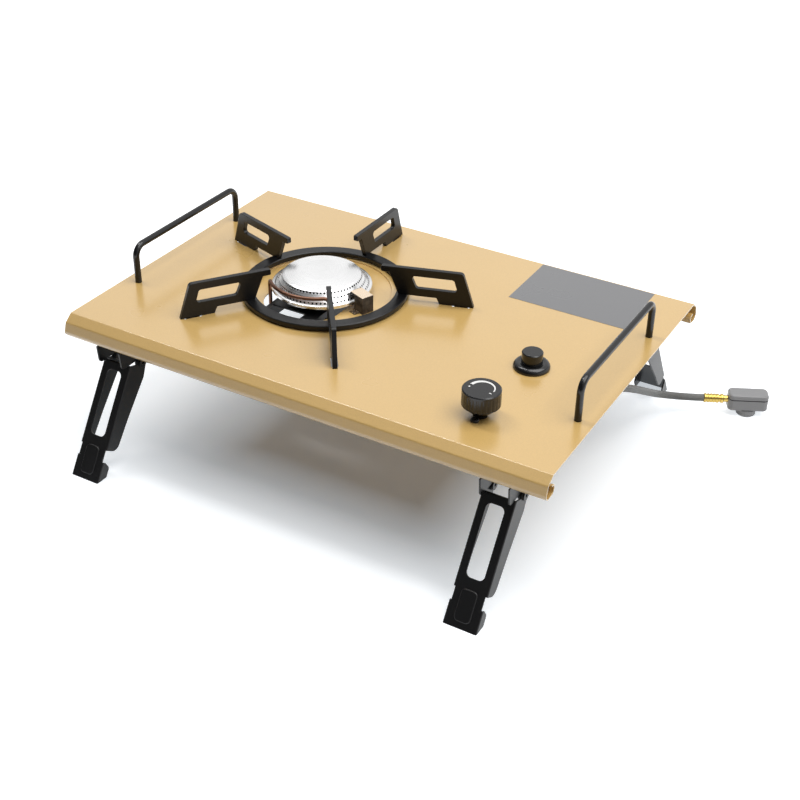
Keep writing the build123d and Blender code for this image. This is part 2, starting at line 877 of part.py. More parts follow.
lead_level = plate_top - terminal_drop
lead_end = Vector(igniter_x - igniter_radius - terminal_length / 2, igniter_y, lead_level)
lead_start = electrode_place - Vector(0, 0, ceramic_drop)
lead_corner = electrode_place - Vector(0, 0, terminal_drop + lead_sag)
lead_entry = lead_end - Vector(lead_sag, 0, 0)
with BuildPart() as ignition_lead:
    with BuildLine() as lead_line:
        FilletPolyline(lead_start, lead_corner, lead_entry, lead_end, radius=lead_bend)
    with BuildSketch(Plane(origin=lead_line.line @ 0, z_dir=lead_line.line % 0)):
        Circle(lead_radius)
    sweep()
save(ignition_lead.part, "ignition_lead")

# Legs
foot_end = (pivot_z + leg_face * sin(lean)) / cos(lean)
foot_start = foot_end - foot_length
flange_end = foot_start - waist_length
waist_middle = flange_end + waist_length / 2
leg_slot_length = flange_end - leg_slot_margin - leg_slot_start
leg_outline = [
    (leg_face_start, leg_face),
    (foot_end + foot_length, leg_face),
    (foot_end + foot_length, leg_face - foot_ear),
    (foot_start + foot_ear_slope, leg_face - foot_ear),
    (foot_start, leg_face - foot_ear_start),
    (foot_start, leg_face - leg_sheet),
    (flange_end, leg_face - leg_sheet),
    (flange_end, leg_face - flange_low_depth),
    (flange_end * flange_mid_share, leg_face - flange_mid_depth),
    (flange_shoulder, leg_face - flange_top_depth),
    (0, -leg_eye),
]
leg_rounds = [0, 0, 0, foot_round, 0, 0, 0, flange_round, 0, 0, 0]


def leg_plane(x, side):
    """Side plane of a leg at its pivot: x runs down the leg, y points out through its face."""
    return Plane(
        origin=(x, side * pivot_y, pivot_z),
        x_dir=(0, side * sin(lean), -cos(lean)),
        z_dir=(side, 0, 0),
    )


def edges_at(part, plane, out, across=None):
    """Edges of a leg whose ends lie at a distance out of its side plane, and across from it if given."""

    def lies_there(edge):
        ends = [plane.to_local_coords(edge @ place) for place in (0, 1)]
        level = all(abs(end.Y - out) < tolerance for end in ends)
        return level and (across is None or all(abs(abs(end.Z) - across) < tolerance for end in ends))

    return part.edges().filter_by(lies_there)


def build_leg(name, x, side):
    """One channel leg: slotted face, tapering flanges, waist and a foot cut level with the floor."""
    plane = leg_plane(x, side)
    face = Plane(origin=plane.from_local_coords((0, leg_face, 0)), x_dir=plane.x_dir, z_dir=plane.y_dir)
    with BuildPart() as leg:
        with BuildSketch(plane):
            with BuildLine():
                FilletPolyline(leg_outline, radius=leg_rounds, close=True)
            make_face()
            Circle(leg_eye)
        extrude(amount=leg_width / 2, both=True)
        fillet(edges_at(leg, plane, leg_face, leg_width / 2), radius=leg_bend)
        with BuildSketch(plane):
            with Locations((-leg_eye - overrun, leg_face - leg_sheet)):
                Rectangle(
                    foot_end + foot_length + leg_eye + 2 * overrun,
                    flange_top_depth + overrun,
                    align=(Align.MIN, Align.MAX),
                )
        extrude(amount=leg_width / 2 - leg_sheet, both=True, mode=Mode.SUBTRACT)
        with BuildSketch(plane):
            Circle(rivet_radius + running_gap)
        extrude(amount=leg_width / 2 + overrun, both=True, mode=Mode.SUBTRACT)
        with BuildSketch(face):
            with Locations((leg_slot_start + leg_slot_length / 2, 0)):
                RectangleRounded(leg_slot_length, leg_slot_width, leg_slot_corner)
            with Locations((waist_middle, -leg_width / 2), (waist_middle, leg_width / 2)):
                Rectangle(waist_length, 2 * waist_inset)
        extrude(amount=-(leg_sheet + overrun), mode=Mode.SUBTRACT)
        with BuildSketch(face):
            with Locations((foot_end - panel_margin - panel_length / 2, 0)):
                RectangleRounded(panel_length, panel_width, panel_corner)
        extrude(amount=panel_raise)
        chamfer(edges_at(leg, plane, leg_face + panel_raise), length=panel_edge)
        split(bisect_by=Plane.XY, keep=Keep.TOP)
    save(leg.part, name)


def from_leg(along, out):
    """Outward and upward distance from the pivot of a point given along and out of the leg."""
    return (along * sin(lean) + out * cos(lean), -along * cos(lean) + out * sin(lean))


nose_level = from_leg(leg_face_start, leg_face)[1] + stop_gap
ear_top = pivot_drop - sheet
ear_half = leg_width / 2 - leg_sheet - ear_gap
ear_outline = [
    (-ear_rear, ear_top),
    (ear_front, ear_top),
    (ear_front, nose_shoulder),
    (nose_reach, nose_shoulder),
    (nose_foot_reach, nose_level),
    (0, nose_level),
    (-ear_eye, 0),
    (-ear_rear, ear_top - ear_rear_drop),
]
ear_rounds = [0, 0, nose_round, 0, nose_round, 0, 0, nose_round]


def build_leg_bracket(name, x, side):
    """U-shaped bracket under the plate: two ears inside the leg, with a nose that stops the open leg."""
    plane = Plane(origin=(x, side * pivot_y, pivot_z), x_dir=(0, side, 0), z_dir=(side, 0, 0))
    with BuildPart() as bracket:
        with BuildSketch(plane):
            with BuildLine():
                FilletPolyline(ear_outline, radius=ear_rounds, close=True)
            make_face()
            Circle(ear_eye)
        extrude(amount=ear_half, both=True)
        with BuildSketch(plane):
            with Locations((0, ear_top - ear_sheet)):
                Rectangle(
                    2 * (nose_reach + overrun),
                    ear_top + ear_eye + overrun,
                    align=(Align.CENTER, Align.MAX),
                )
        extrude(amount=ear_half - ear_sheet, both=True, mode=Mode.SUBTRACT)
        with BuildSketch(plane):
            Circle(rivet_radius + running_gap)
        extrude(amount=ear_half + overrun, both=True, mode=Mode.SUBTRACT)
    save(bracket.part, name)


leg_places = {
    "front_left": (-leg_x, -1),
    "front_right": (leg_x, -1),
    "rear_left": (-leg_x, 1),
    "rear_right": (leg_x, 1),
}
for corner, (corner_x, corner_side) in leg_places.items():
    build_leg(f"leg_{corner}", corner_x, corner_side)
    build_leg_bracket(f"leg_bracket_{corner}", corner_x, corner_side)

ear_inside = ear_half - ear_sheet
rivet_grip = leg_width / 2 + rivet_play - ear_inside
with BuildPart() as leg_rivets:
    for corner_x, corner_side in leg_places.values():
        for hand in (-1, 1):
            rivet_foot = Vector(corner_x + hand * ear_inside, corner_side * pivot_y, pivot_z)
            rivet_plane = Plane(origin=rivet_foot, z_dir=(hand, 0, 0))
            with Locations(rivet_plane.location):
                Cylinder(rivet_radius, rivet_grip, align=up_from_base)
                Cylinder(rivet_head_radius, rivet_head, align=down_to_top)
            with Locations(rivet_plane.offset(rivet_grip).location):
                Cylinder(rivet_head_radius, rivet_head, align=up_from_base)
            with Locations(rivet_plane.offset(rivet_grip / 2).location):
                Cylinder(rivet_bore, rivet_grip + 2 * (rivet_head + overrun), mode=Mode.SUBTRACT)
save(leg_rivets.part, "leg_rivets")

# Hose with its fittings
inlet_mouth = Vector(valve_x, valve_y, pipe_level) + inlet_way * valve_boss_reach
inlet_plane = Plane(origin=inlet_mouth, x_dir=(0, 0, 1), z_dir=inlet_way)
with BuildPart(inlet_plane) as hose_nipple:
    with BuildSketch(inlet_plane):
        RegularPolygon(nipple_hex / 2, 6, major_radius=False)
    extrude(amount=nipple_length)
    Cylinder(barb_radius, nipple_length + ferrule_length, align=up_from_base)
    Cylinder(barb_bore, nipple_length + ferrule_length, align=up_from_base, mode=Mode.SUBTRACT)
save(hose_nipple.part, "hose_nipple")


def build_ferrule(name, plane):
    """One crimped sleeve round a barb, from the plane onwards."""
    with BuildPart(plane) as ferrule:
        Cylinder(ferrule_radius, ferrule_length, align=up_from_base)
        chamfer(ferrule.edges(), length=ferrule_edge)
        Cylinder(barb_radius + seat_gap, ferrule_length, align=up_from_base, mode=Mode.SUBTRACT)
    save(ferrule.part, name)


build_ferrule("hose_ferrule_valve", inlet_plane.offset(nipple_length))

regulator_level = canister_collar_drop + regulator_height / 2
hose_start = inlet_plane.offset(nipple_length + ferrule_length).origin
hose_end = Vector(hose_end_x, hose_end_y, regulator_level)
regulator_way = Vector(cos(radians(regulator_turn)), sin(radians(regulator_turn)), 0)
hose_first = hose_start + inlet_way * hose_lead
hose_last = hose_end - regulator_way * hose_tail
hose_route = [hose_start, hose_first] + [Vector(point) for point in hose_middle] + [hose_last, hose_end]
hose_radii = []
for before, corner, after in zip(hose_route, hose_route[1:], hose_route[2:]):
    turn = radians((corner - before).get_angle(after - corner))
    run = min((corner - before).length, (after - corner).length)
    hose_radii.append(hose_arc_share * run / tan(turn / 2))
with BuildPart() as gas_hose:
    with BuildLine() as hose_line:
        FilletPolyline(hose_route, radius=hose_radii)
    with BuildSketch(Plane(origin=hose_line.line @ 0, z_dir=hose_line.line % 0)):
        Circle(hose_diameter / 2)
    hose_area = gas_hose.pending_faces[0].area
    hose_length = hose_line.wire().length
    sweep()
print("hose radii", [round(radius, 1) for radius in hose_radii])
print("hose length", round(hose_length, 1))
print("hose volume", round(gas_hose.part.volume, 1))
print("section times length", round(hose_area * hose_length, 1))
save(gas_hose.part, "gas_hose")

# Regulator, lying at the end of the hose
regulator_mouth = Plane(origin=hose_end, x_dir=(0, 0, 1), z_dir=regulator_way)
build_ferrule("hose_ferrule_regulator", regulator_mouth)

with BuildPart(regulator_mouth) as regulator_spigot:
    Cylinder(barb_radius, ferrule_length, align=up_from_base)
    with Locations((0, 0, ferrule_length)):
        Cylinder(spigot_radius, spigot_length, align=up_from_base)
    Cylinder(barb_bore, ferrule_length + spigot_length, align=up_from_base, mode=Mode.SUBTRACT)
save(regulator_spigot.part, "regulator_spigot")

regulator_middle = hose_end + regulator_way * (ferrule_length + spigot_length + regulator_length / 2)
regulator_base = Plane(
    origin=(regulator_middle.X, regulator_middle.Y, canister_collar_drop),
    x_dir=regulator_way,
    z_dir=(0, 0, 1),
)
with BuildPart() as regulator_body:
    with BuildSketch(regulator_base):
        RectangleRounded(regulator_length, regulator_width, regulator_corner)
    extrude(amount=regulator_split)
    chamfer(regulator_body.edges().group_by(Axis.Z)[0], length=regulator_edge / 2)
    with BuildSketch(regulator_base.offset(regulator_split)):
        RectangleRounded(regulator_length + overrun, regulator_width + overrun, regulator_corner)
        RectangleRounded(
            regulator_length - 2 * regulator_groove_depth,
            regulator_width - 2 * regulator_groove_depth,
            regulator_corner - regulator_groove_depth,
            mode=Mode.SUBTRACT,
        )
    extrude(amount=-regulator_groove, mode=Mode.SUBTRACT)
    with Locations(regulator_base.location):
        Cylinder(
            canister_seat_radius + seat_gap,
            canister_seat_depth,
            align=up_from_base,
            mode=Mode.SUBTRACT,
        )
    with Locations(regulator_base.offset(regulator_split).location):
        Cylinder(diaphragm_radius + seat_gap, diaphragm_thick, align=down_to_top, mode=Mode.SUBTRACT)
save(regulator_body.part, "regulator_body")

cover_height = regulator_height - regulator_split
with BuildPart() as regulator_cover:
    with BuildSketch(regulator_base.offset(regulator_split)):
        RectangleRounded(regulator_length, regulator_width, regulator_corner)
    extrude(amount=cover_height)
    fillet(regulator_cover.edges().group_by(Axis.Z)[-1], radius=regulator_edge)
    with Locations(regulator_base.offset(regulator_split).location):
        Cylinder(diaphragm_radius, cover_height - cover_wall, align=up_from_base, mode=Mode.SUBTRACT)
save(regulator_cover.part, "regulator_cover")

with BuildPart(regulator_base.offset(regulator_split)) as regulator_diaphragm:
    Cylinder(diaphragm_radius, diaphragm_thick, align=down_to_top)
save(regulator_diaphragm.part, "regulator_diaphragm")

collar_neck = canister_seat_depth - port_seal_thick
with BuildPart(regulator_base) as canister_collar:
    Cylinder(canister_collar_radius, canister_collar_drop, align=down_to_top)
    chamfer(canister_collar.edges().sort_by(Axis.Z)[0], length=canister_collar_edge)
    Cylinder(canister_seat_radius, collar_neck, align=up_from_base)
    with Locations((0, 0, collar_neck)):
        Cylinder(
            canister_bore_radius,
            collar_neck + canister_collar_drop,
            align=down_to_top,
            mode=Mode.SUBTRACT,
        )
save(canister_collar.part, "canister_collar")

with BuildPart(regulator_base.offset(canister_seat_depth)) as port_seal:
    Cylinder(canister_seat_radius, port_seal_thick, align=down_to_top)
    Cylinder(port_seal_hole, port_seal_thick, align=down_to_top, mode=Mode.SUBTRACT)
save(port_seal.part, "port_seal")
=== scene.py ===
"""Looks of the portable gas stove: its finishes, its hose with crimped ferrules and a plain studio."""

import math

import bpy
from mathutils import Matrix, Vector


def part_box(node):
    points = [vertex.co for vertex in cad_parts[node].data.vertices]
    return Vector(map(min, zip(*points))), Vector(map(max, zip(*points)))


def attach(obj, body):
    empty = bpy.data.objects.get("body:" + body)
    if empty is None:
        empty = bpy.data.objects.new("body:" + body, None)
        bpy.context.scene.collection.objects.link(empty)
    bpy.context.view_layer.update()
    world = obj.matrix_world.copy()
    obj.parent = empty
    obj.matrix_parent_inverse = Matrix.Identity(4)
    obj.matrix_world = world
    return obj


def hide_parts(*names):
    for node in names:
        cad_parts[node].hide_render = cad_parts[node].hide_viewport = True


bl_info = {
    "name": "Portable gas stove",
    "version": (1, 0, 0),
    "blender": (4, 5, 0),
    "location": "View3D > Sidebar > Stove",
    "description": "Dresses the stove's pieces, lays its hose and sets up a plain studio",
    "category": "Object",
}

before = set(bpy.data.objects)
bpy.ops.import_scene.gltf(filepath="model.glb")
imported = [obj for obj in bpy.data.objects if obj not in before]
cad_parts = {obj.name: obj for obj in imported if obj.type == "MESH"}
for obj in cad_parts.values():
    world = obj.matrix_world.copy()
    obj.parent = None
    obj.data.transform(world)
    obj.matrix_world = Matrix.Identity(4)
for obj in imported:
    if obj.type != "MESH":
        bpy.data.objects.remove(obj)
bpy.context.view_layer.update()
CORNERS = ("front_left", "front_right", "rear_left", "rear_right")
ARMS = tuple(f"support_arm_{number}" for number in range(1, 6))

# Route of the hose from its ferrule at the valve to its ferrule at the regulator, in metres
HOSE_ROUTE = (
    (0.175181, -0.079912, 0.118),
    (0.188178, -0.044204, 0.118),
    (0.207, 0.003, 0.1125),
    (0.223, 0.047, 0.098),
    (0.225, 0.082, 0.079),
    (0.2242, 0.157, 0.0317),
    (0.2315, 0.1756, 0.0221),
    (0.246133, 0.191414, 0.016),
    (0.264, 0.2004, 0.016),
)

# Places along a ferrule, as shares of its length from the hose: its pressed grooves, neck and collar
GROOVE_SHARES = (0.15, 0.30, 0.45, 0.60)
GROOVE_WIDTH_SHARE = 0.05
NECK_SHARE = 0.77
COLLAR_SHARE = 0.83
LIP_SHARE = 0.03

# Sides of a ferrule, and the angle in degrees up to which its edges look smooth
FERRULE_SIDES = 64
SMOOTH_ANGLE = 35.0

# Ranges, shares and edge widths of the finishes, the widths in metres
FULL = (0.0, 1.0)
FULL_DOWN = (1.0, 0.0)
BEVEL_SAMPLES = 6
PEEL_SHARE = 0.75
EDGE_TURN = (0.02, 0.22)
COAT_GRAIN = 4
FLECK_LEVELS = (0.96, 1.04)
# Edges are lightened both for wear and as a painted highlight along them
WEAR_AND_HIGHLIGHT_CLOUD = (0.35, 0.75)
WEAR_AND_HIGHLIGHT_LEVELS = (0.2, 1.0)
WEAR_AND_HIGHLIGHT_LIFT = 1.7
WEAR_AND_HIGHLIGHT_ADD = 0.02
SEAM_PAINTED_SHADE = 0.06
ROUGH_DRIFT = 0.08
STAIN_CLOUD = (0.45, 0.8)
STAIN_SHADE = 0.45
STAIN_ROUGH = 0.25
PAINTED_SHADE_AND_REFLECTION_ROUGH = 0.5
LINE_CLOUD = (0.25, 0.75)
LINE_DULL = 0.05
LINE_ROUGH = 0.07
DENT_SHARE = 0.8
METAL_EDGE = 0.00025
MOULD_GRAIN = 3
MOULD_EDGE = 0.0004
FACING_TURN = (0.05, 0.2)
WALL_TURN = (0.3, 0.7)
PATCH_CLOUD = (0.3, 0.7)
PATCH_LEVELS = (0.80, 0.97)
BOWL_INSIDE_SHARE = 0.96
SEAM_OVERLAP = 0.00005

# Braid of the hose, its depth in metres
BRAID_STRANDS = 12.0
BRAID_SHADE = 0.55
BRAID_ROUGH = (0.7, 0.48)
BRAID_DEPTH = 0.0003

# Studio: floor, dim side, lamps and camera, in metres, with the roll in degrees and the sensor in millimetres
WHITE = (1.0, 1.0, 1.0)
FLOOR_RADIUS = 6.0
FLOOR_SIDES = 96
FLOOR_GRAIN = 2.0
FLOOR_TONES = ((0.73, 0.73, 0.73), (0.75, 0.75, 0.75))
# Tint of the painted shadow in the floor's glow, towards the core under the stove
SHADOW_TINT = (0.70, 0.85, 1.0)
DIM_SIDE = (-0.40, -0.85, -0.30)
DIM_SPAN = (-0.45, 0.5)
LAMP_TARGET = (0.0, 0.0, 0.1)
LAMP_ABOVE_PLACE = (0.72, 0.10, 1.85)
LAMP_ABOVE_SIZE = (1.7, 1.7)
LAMP_EDGE_PLACE = (-0.80, 0.02, 1.9)
LAMP_EDGE_SIZE = (0.25, 1.0)
CAMERA_PLACE = (0.5697, -0.9755, 0.7718)
CAMERA_TARGET = (0.09175, -0.1324, 0.140)
CAMERA_ROLL = 0.97
CAMERA_REACH = 50.0
SENSOR_WIDTH = 36.0


def shade(name, words, default):
    """A colour that a user may change."""
    return bpy.props.FloatVectorProperty(
        name=name, description=words, subtype="COLOR", size=3, min=0.0, max=1.0, default=default
    )


def length(name, words, default):
    """A length that a user may change, in metres."""
    return bpy.props.FloatProperty(
        name=name, description=words, subtype="DISTANCE", unit="LENGTH", default=default
    )


def level(name, words, default):
    """A plain number that a user may change."""
    return bpy.props.FloatProperty(name=name, description=words, min=0.0, default=default)


class StoveColours(bpy.types.PropertyGroup):
    """Colours of the stove's finishes."""

    sand: shade("Sand paint", "Paint of the plate", (0.64, 0.415, 0.140))
    black: shade("Black coat", "Coat of the legs, handles and pot support", (0.0045, 0.0045, 0.005))
    panel: shade("Panel", "Bare panel on the plate", (0.105, 0.106, 0.112))
    steel: shade("Burner steel", "Pressed steel of the burner", (0.89, 0.89, 0.89))
    # Painted shade inside the burner and under the knob, and a painted dark reflection on the shield's walls
    painted_shade_and_reflection: shade("Soot", "Inside of the burner", (0.020, 0.018, 0.017))
    zinc: shade("Zinc", "Plated small parts", (0.62, 0.60, 0.57))
    shield: shade("Shield", "Roof of the electrode's shield, yellowed by heat", (0.93, 0.76, 0.58))
    copper: shade("Copper", "Gas pipe and loop, browned by heat", (0.20, 0.105, 0.070))
    brass: shade("Brass", "Valve, jet and hose fittings", (0.58, 0.41, 0.11))
    plastic: shade("Plastic", "Knob, button and bezel", (0.006, 0.006, 0.0065))
    mark: shade("Marks", "Printed marks of the knob", (0.82, 0.82, 0.80))
    ceramic: shade("Ceramic", "Insulator of the electrode", (0.80, 0.78, 0.73))
    lead: shade("Lead", "Sleeve of the ignition lead", (0.25, 0.035, 0.02))
    hose: shade("Hose", "Braid of the hose", (0.25, 0.25, 0.245))
    regulator: shade("Regulator", "Cast body of the regulator", (0.27, 0.27, 0.275))
    rubber: shade("Rubber", "Seal and diaphragm", (0.02, 0.02, 0.02))


class StoveSizes(bpy.types.PropertyGroup):
    """Sizes of the pieces made here."""

    hose: length("Hose", "Outside diameter of the hose", 0.0075)
    braid: length("Braid pitch", "Length of one turn of the hose's braid", 0.012)
    ferrule: length("Ferrule radius", "Outside radius of a hose ferrule", 0.0048)
    ferrule_length: length("Ferrule length", "Length of a hose ferrule", 0.020)
    crimp: length("Crimp depth", "Depth of the grooves pressed into a ferrule", 0.00045)
    # The seam is a band of painted shade in the groove between the regulator's body and cover
    seam: length("Seam", "Height of the dark seam round the regulator", 0.0010)


class StoveStudio(bpy.types.PropertyGroup):
    """Light and camera."""

    world: level("World", "Level of the light from all round", 0.28)
    front: level("Front", "Share of that light on the dim side behind the camera", 0.10)
    lamp: level("Lamp", "Power of the lamp above, in watts", 34.0)
    edge: level("Edge lamp", "Power of the narrow lamp that draws the bends and rods, in watts", 12.0)
    # The shadow's core, fade and core glow shape a painted shadow in the floor's white glow
    core_width: length("Shadow width", "Half width of the dark core of the floor's shadow", 0.09)
    core_depth: length("Shadow depth", "Half depth of the dark core of the floor's shadow", 0.09)
    fade: length("Shadow fade", "Distance over which the floor clears to white round that core", 0.19)
    painted_shadow_glow: level("Core glow", "Level of the floor's own white in the core of its shadow", 0.075)
    lens: level("Lens", "Focal length of the camera, in millimetres", 60.74)


# Nodes


class Sheet:
    """Adds nodes to one tree and joins them."""

    def __init__(self, tree):
        self.tree = tree

    def feed(self, socket, value):
        """Links a socket to another, or sets its value."""
        if isinstance(value, bpy.types.NodeSocket):
            self.tree.links.new(value, socket)
        elif isinstance(value, (tuple, list)) and len(value) == 3 and socket.type == "RGBA":
            socket.default_value = (*value, 1.0)
        else:
            socket.default_value = value

    def node(self, kind, inputs=(), **settings):
        """A node with its settings, and its inputs by name or number."""
        made = self.tree.nodes.new(kind)
        for key, value in settings.items():
            setattr(made, key, value)
        for key, value in dict(inputs).items():
            self.feed(made.inputs[key], value)
        return made

    def math(self, operation, first, second=0.0, clamp=False):
        """One sum."""
        made = self.node("ShaderNodeMath", {0: first, 1: second}, operation=operation, use_clamp=clamp)
        return made.outputs[0]

    def vector(self, operation, first, second):
        """One sum of two vectors."""
        return self.node("ShaderNodeVectorMath", {0: first, 1: second}, operation=operation).outputs

    def mix(self, share, first, second):
        """A mix of two colours."""
        return self.node("ShaderNodeMix", {0: share, 6: first, 7: second}, data_type="RGBA").outputs[2]

    def span(self, value, source, target):
        """A value moved from one range to another, held to its ends."""
        inputs = {0: value, 1: source[0], 2: source[1], 3: target[0], 4: target[1]}
        return self.node("ShaderNodeMapRange", inputs).outputs[0]

    def noise(self, where, scale, detail=2.0, rough=0.5):
        """Soft noise from 0 to 1."""
        inputs = {"Vector": where, "Scale": scale, "Detail": detail, "Roughness": rough}
        return self.node("ShaderNodeTexNoise", inputs).outputs[0]

    def place(self):
        """The point on the piece, in metres."""
        return self.node("ShaderNodeTexCoord").outputs["Object"]

    def parts(self, where):
        """The three numbers of a vector."""
        return self.node("ShaderNodeSeparateXYZ", {0: where}).outputs

    def radius(self, where, axis):
        """How far a point is from an upright axis."""
        across = self.parts(self.vector("SUBTRACT", where, axis)[0])
        squares = [self.math("MULTIPLY", across[index], across[index]) for index in (0, 1)]
        return self.math("SQRT", self.math("ADD", *squares))

    def group(self, name, **inputs):
        """A shared effect with its own values."""
        made = self.node("ShaderNodeGroup", node_tree=shared(name))
        for key, value in inputs.items():
            self.feed(made.inputs[key], value)
        return made.outputs


def effect(name, inputs, outputs):
    """An empty node group with its sockets, as (sheet, what it is given, what it puts out)."""
    tree = bpy.data.node_groups.new(name, "ShaderNodeTree")
    kinds = {"vector": "NodeSocketVector", "value": "NodeSocketFloat", "colour": "NodeSocketColor"}
    for label, kind in inputs.items():
        tree.interface.new_socket(name=label, in_out="INPUT", socket_type=kinds[kind])
    for label, kind in outputs.items():
        tree.interface.new_socket(name=label, in_out="OUTPUT", socket_type=kinds[kind])
    return Sheet(tree), tree.nodes.new("NodeGroupInput").outputs, tree.nodes.new("NodeGroupOutput").inputs


def make_tone_drift():
    """Slow changes of tone across a painted or plated surface."""
    inputs = {"Place": "vector", "Colour": "colour", "Scale": "value", "Amount": "value"}
    sheet, given, out = effect("tone_drift", inputs, {"Colour": "colour"})
    cloud = sheet.noise(given["Place"], given["Scale"], detail=4.0, rough=0.6)
    drift = sheet.math("MULTIPLY", sheet.math("SUBTRACT", cloud, 0.5), given["Amount"])
    value = sheet.math("ADD", drift, 1.0)
    changed = sheet.node("ShaderNodeHueSaturation", {"Value": value, "Color": given["Colour"]})
    sheet.feed(out["Colour"], changed.outputs[0])
    return sheet.tree


def make_paint_skin():
    """Orange peel and fine grain of a sprayed coat."""
    inputs = {"Place": "vector", "Peel": "value", "Grain": "value"}
    sheet, given, out = effect("paint_skin", inputs, {"Height": "value", "Fleck": "value"})
    peel = sheet.noise(given["Place"], given["Peel"], detail=1.0, rough=0.4)
    grain = sheet.noise(given["Place"], given["Grain"], detail=2.0, rough=0.7)
    peel_height = sheet.math("MULTIPLY", peel, PEEL_SHARE)
    height = sheet.math("ADD", peel_height, sheet.math("MULTIPLY", grain, 1.0 - PEEL_SHARE))
    cells = sheet.node("ShaderNodeTexVoronoi", {"Vector": given["Place"], "Scale": given["Grain"]})
    split = sheet.node("ShaderNodeSeparateColor", {0: cells.outputs["Color"]})
    sheet.feed(out["Height"], height)
    sheet.feed(out["Fleck"], split.outputs[0])
    return sheet.tree


def make_turned_lines():
    """Fine rings that a lathe or a spinning tool leaves round an upright axis."""
    inputs = {"Place": "vector", "Axis": "vector", "Scale": "value"}
    sheet, given, out = effect("turned_lines", inputs, {"Line": "value"})
    radius = sheet.radius(given["Place"], given["Axis"])
    ring = sheet.node("ShaderNodeCombineXYZ", {0: radius, 1: sheet.parts(given["Place"])[2]})
    sheet.feed(out["Line"], sheet.noise(ring.outputs[0], given["Scale"], detail=3.0, rough=0.65))
    return sheet.tree


def make_edge_wear_and_highlight():
    """Where a coat wears on an edge and where a painted highlight lines it: 1 on edges, 0 on flat faces."""
    sheet, given, out = effect("edge_wear_and_highlight", {"Width": "value", "Breakup": "value"}, {"Edge": "value"})
    rounded = sheet.node("ShaderNodeBevel", {"Radius": given["Width"]}, samples=BEVEL_SAMPLES)
    flat = sheet.node("ShaderNodeNewGeometry").outputs["Normal"]
    likeness = sheet.vector("DOT_PRODUCT", rounded.outputs[0], flat)["Value"]
    edge = sheet.span(sheet.math("SUBTRACT", 1.0, likeness), EDGE_TURN, FULL)
    sheet.feed(out["Edge"], sheet.math("MULTIPLY", edge, given["Breakup"], clamp=True))
    return sheet.tree


def make_braid():
    """Crossing strands wound round a hose, from its own map: u along it and v round it."""
    inputs = {"Map": "vector", "Turns": "value", "Strands": "value"}
    sheet, given, out = effect("hose_braid", inputs, {"Strand": "value"})
    along, round_it, _ = sheet.parts(given["Map"])
    wound = sheet.math("MULTIPLY", along, given["Turns"])
    strands = []
    for way in ("ADD", "SUBTRACT"):
        turn = sheet.math("MULTIPLY", sheet.math(way, round_it, wound), given["Strands"])
        strands.append(sheet.math("PINGPONG", turn, 0.5))
    over = sheet.math("MAXIMUM", *strands)
    sheet.feed(out["Strand"], sheet.math("MULTIPLY", over, 2.0))
    return sheet.tree


MAKERS = {
    "tone": make_tone_drift,
    "skin": make_paint_skin,
    "turned": make_turned_lines,
    "edge": make_edge_wear_and_highlight,
    "braid": make_braid,
}
EFFECTS = {}


def shared(name):
    """A shared effect, made the first time that it is asked for."""
    if name not in EFFECTS:
        EFFECTS[name] = MAKERS[name]()
    return EFFECTS[name]


# Finishes


def blank(name, **constants):
    """A material with an empty Principled shader, as (material, sheet, the shader's sockets)."""
    material = bpy.data.materials.new(name)
    material.use_nodes = True
    sheet = Sheet(material.node_tree)
    shader = next(node for node in material.node_tree.nodes if node.type == "BSDF_PRINCIPLED")
    for key, value in constants.items():
        sheet.feed(shader.inputs[key.replace("_", " ")], value)
    return material, sheet, shader.inputs


def bump(sheet, shader, height, depth, edge=0.0):
    """Raises the surface by a height from 0 to 1 times a depth in metres, with softened edges."""
    inputs = {"Height": height, "Strength": 1.0, "Distance": depth}
    if edge:
        inputs["Normal"] = sheet.node("ShaderNodeBevel", {"Radius": edge}, samples=BEVEL_SAMPLES).outputs[0]
    sheet.feed(shader["Normal"], sheet.node("ShaderNodeBump", inputs).outputs[0])


def coat_finish(name, colour, rough, peel, depth, edge=0.0006, worn=0.35, seam=None, **constants):
    """A sprayed coat: tone drift, orange peel, flecks, edges lightened for wear and as a painted highlight,
    and any painted shade in a groove, as a height range.
    """
    material, sheet, shader = blank(name, **constants)
    place = sheet.place()
    skin = sheet.group("skin", Place=place, Peel=peel, Grain=peel * COAT_GRAIN)
    tone = sheet.group("tone", Place=place, Colour=colour, Scale=9.0, Amount=0.10)
    fleck = sheet.span(skin["Fleck"], FULL, FLECK_LEVELS)
    flecked = sheet.node("ShaderNodeHueSaturation", {"Value": fleck, "Color": tone["Colour"]}).outputs[0]
    # Edges lightened for wear and as a painted highlight along them
    breakup = sheet.span(sheet.noise(place, scale=160.0, detail=3.0, rough=0.6), WEAR_AND_HIGHLIGHT_CLOUD, WEAR_AND_HIGHLIGHT_LEVELS)
    worn_and_highlit_edge = sheet.group("edge", Width=edge, Breakup=breakup)["Edge"]
    wear_and_highlight_colour = tuple(min(1.0, channel * WEAR_AND_HIGHLIGHT_LIFT + WEAR_AND_HIGHLIGHT_ADD) for channel in colour)
    final = sheet.mix(sheet.math("MULTIPLY", worn_and_highlit_edge, worn), flecked, wear_and_highlight_colour)
    # Painted shade: a dark band in the groove at the seam's heights
    if seam:
        height = sheet.parts(place)[2]
        over = sheet.math("GREATER_THAN", height, seam[0])
        under = sheet.math("LESS_THAN", height, seam[1])
        dark = tuple(channel * SEAM_PAINTED_SHADE for channel in colour)
        final = sheet.mix(sheet.math("MULTIPLY", over, under), final, dark)
    sheet.feed(shader["Base Color"], final)
    cloud = sheet.noise(place, scale=14.0, detail=3.0, rough=0.55)
    sheet.feed(shader["Roughness"], sheet.span(cloud, FULL, (rough - ROUGH_DRIFT, rough + ROUGH_DRIFT)))
    bump(sheet, shader, skin["Height"], depth, edge)
    return material


